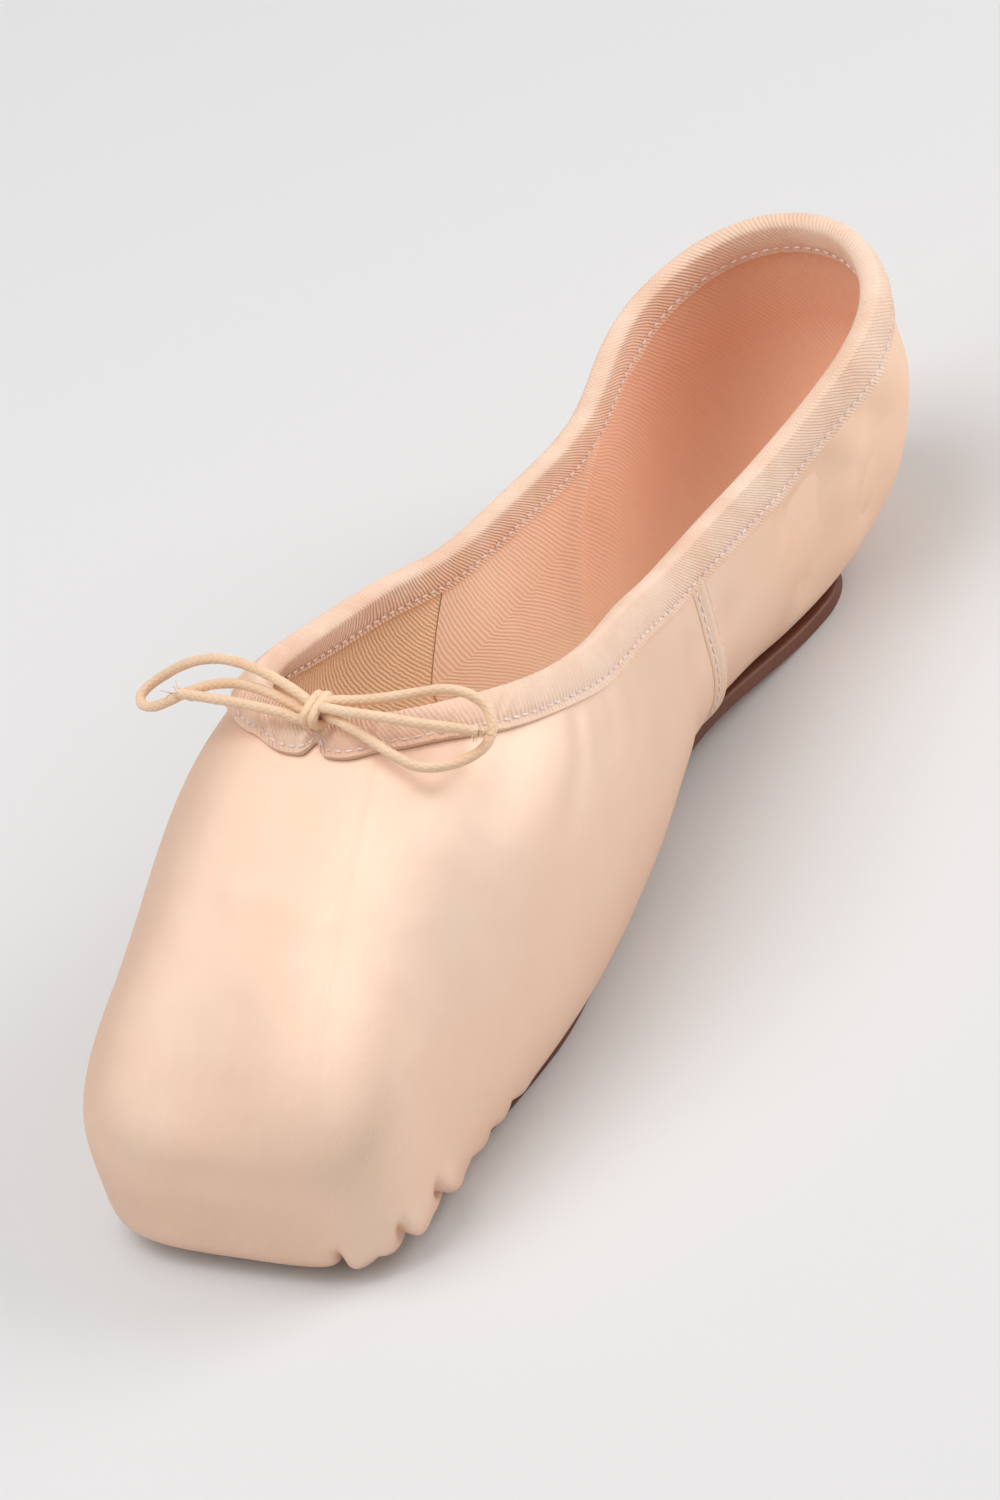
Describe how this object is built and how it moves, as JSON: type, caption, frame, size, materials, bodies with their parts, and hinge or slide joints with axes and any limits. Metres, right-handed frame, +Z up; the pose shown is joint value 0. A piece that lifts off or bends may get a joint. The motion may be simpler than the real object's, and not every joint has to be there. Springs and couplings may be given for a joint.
{
  "type": "pointe shoe",
  "caption": "Satin pointe shoe on a straight last with a stiff box, soft quarters, a bound collar with a drawstring bow, and a leather outsole.",
  "frame": {"origin": "on the floor under the middle of the shoe's box", "axes": "+Y from the toe to the heel, +X to the shoe's left as worn, +Z up"},
  "size_m": [0.0773, 0.237, 0.0742],
  "materials": {
    "satin": "pink satin",
    "binding": "matte cotton twill tape",
    "elastic": "round elastic cord",
    "lining": "cotton lining",
    "outsole": "oak tanned leather"
  },
  "bodies": {
    "root": {"outsole": "outsole", "insole": "lining", "upper": "satin", "collar_binding": "binding", "side_seam_left": "satin", "side_seam_right": "satin", "heel_strip": "satin", "knot": "elastic", "loop_left": "elastic", "loop_right": "elastic", "end_left": "elastic", "end_right": "elastic"}
  },
  "joints": []
}
